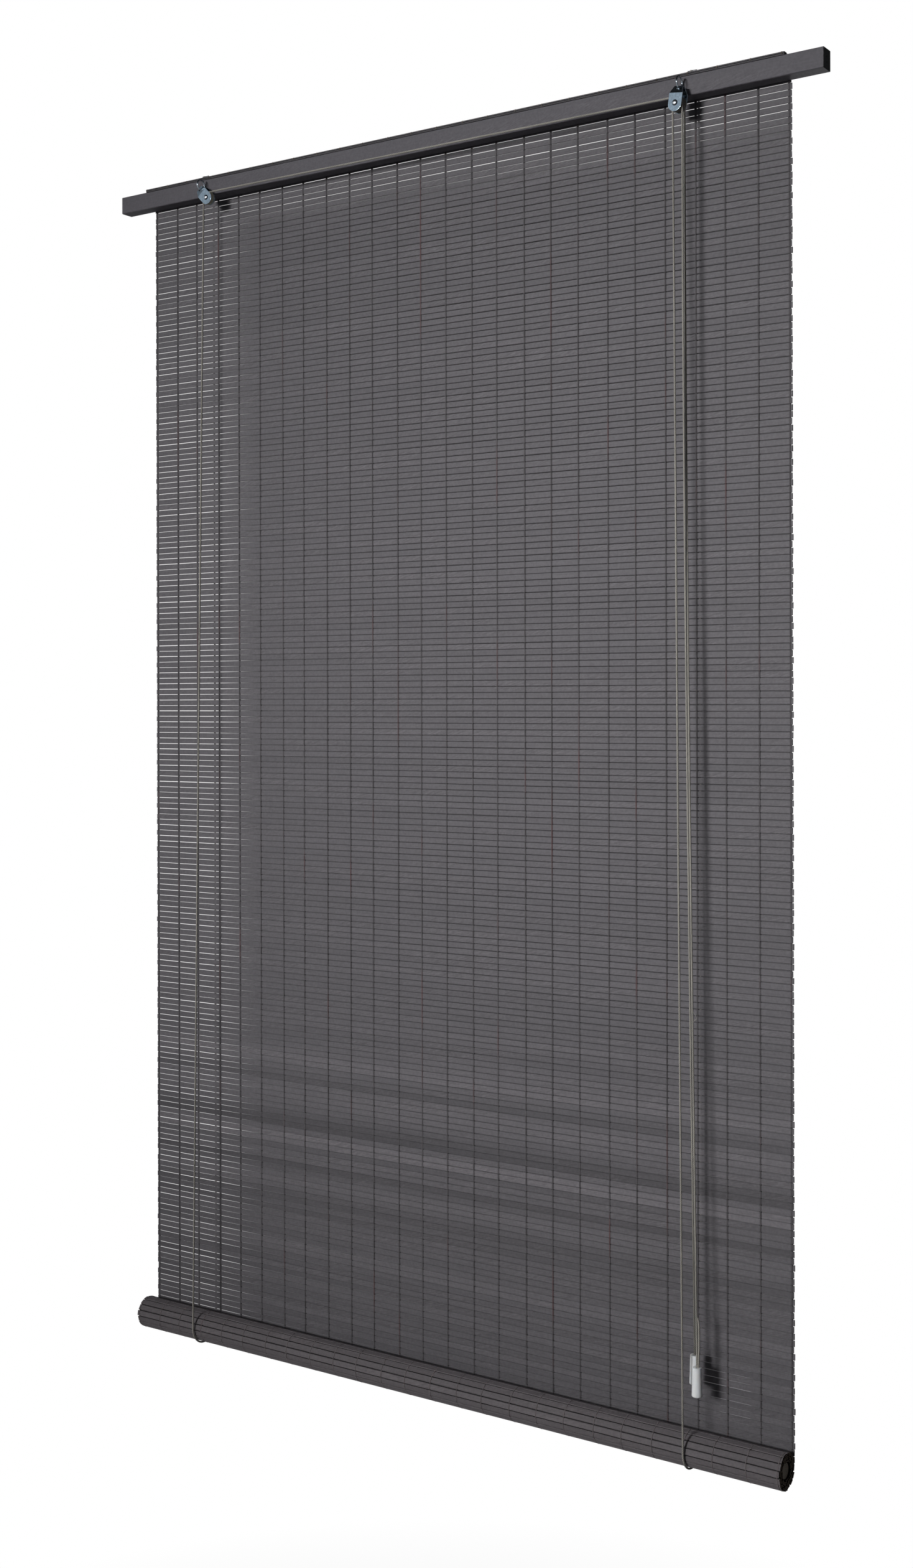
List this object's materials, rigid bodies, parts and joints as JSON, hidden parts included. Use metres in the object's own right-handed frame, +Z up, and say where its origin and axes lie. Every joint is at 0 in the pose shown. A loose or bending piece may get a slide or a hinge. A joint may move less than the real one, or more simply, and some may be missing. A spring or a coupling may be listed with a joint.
{
  "type": "roll-up slat blind",
  "caption": "Window blind of dark painted wooden slats woven on threads, hung from a timber headrail and rolled up from below by two cords over pulleys.",
  "frame": {"origin": "middle of the headrail's underside", "axes": "+X along the headrail to the right seen from the room, -Y towards the room, +Z up"},
  "size_m": [1.096, 0.0512, 1.6568],
  "materials": {
    "painted_slat": "satin anthracite stain over fine straight grain",
    "weaving_thread": "dull grey cotton thread",
    "raw_rod": "brown stained wood end",
    "zinc_steel": "bright zinc plate",
    "nylon_wheel": "cream moulded nylon",
    "cord": "grey-beige braided cord",
    "tassel_plastic": "white moulded plastic, slightly translucent"
  },
  "bodies": {
    "hanger": {"headrail": "painted_slat", "top_slats": "painted_slat", "top_staples": "zinc_steel", "hanging_slats": "painted_slat", "warp_threads": "weaving_thread", "screw_eyes": "zinc_steel", "lift_cord_left": "cord", "lift_cord_right": "cord", "pull_cord_left": "cord", "pull_cord_right": "cord", "tassel_left": "tassel_plastic", "tassel_right": "tassel_plastic", "cord_staples": "zinc_steel"},
    "slings": {"cord_slings": "cord"},
    "roll": {"mat_roll": "painted_slat", "bottom_rod": "raw_rod"},
    "pulley_left": {"strap_left": "zinc_steel", "axle_left": "zinc_steel"},
    "pulley_right": {"strap_right": "zinc_steel", "axle_right": "zinc_steel"},
    "wheel_left": {"wheel_left": "nylon_wheel"},
    "wheel_right_front": {"wheel_right_front": "nylon_wheel"},
    "wheel_right_rear": {"wheel_right_rear": "nylon_wheel"}
  },
  "joints": [
    {"name": "roll_lift", "type": "slide", "parent": "hanger", "child": "slings", "axis": [0, 0, 1], "range_m": [0, 1.45], "deforming": ["hanging_slats", "warp_threads", "lift_cord_left", "lift_cord_right", "pull_cord_left", "pull_cord_right", "tassel_left", "tassel_right"]},
    {"name": "roll_turn", "type": "hinge", "parent": "slings", "child": "roll", "pos_m": [0, -0.0105, -1.59965], "axis": [1, 0, 0], "range_deg": [-3825, 0]},
    {"name": "pulley_left_swing", "type": "hinge", "parent": "hanger", "child": "pulley_left", "pos_m": [-0.3847, -0.0197, 0.0068], "axis": [0, 1, 0], "range_deg": [-12, 15]},
    {"name": "pulley_right_swing", "type": "hinge", "parent": "hanger", "child": "pulley_right", "pos_m": [0.3708, -0.0197, 0.0068], "axis": [0, 1, 0], "range_deg": [-15, 15]},
    {"name": "wheel_left_spin", "type": "hinge", "parent": "pulley_left", "child": "wheel_left", "pos_m": [-0.37197, -0.0197, -0.00593], "axis": [0, 1, 0], "continuous": true},
    {"name": "wheel_right_front_spin", "type": "hinge", "parent": "pulley_right", "child": "wheel_right_front", "pos_m": [0.36829, -0.02265, -0.01103], "axis": [0, 1, 0], "continuous": true},
    {"name": "wheel_right_rear_spin", "type": "hinge", "parent": "pulley_right", "child": "wheel_right_rear", "pos_m": [0.36829, -0.01675, -0.01103], "axis": [0, 1, 0], "continuous": true}
  ],
  "couplings": [
    {"joint": "roll_turn", "follows": "roll_lift", "rad_per_m": -46.026}
  ]
}
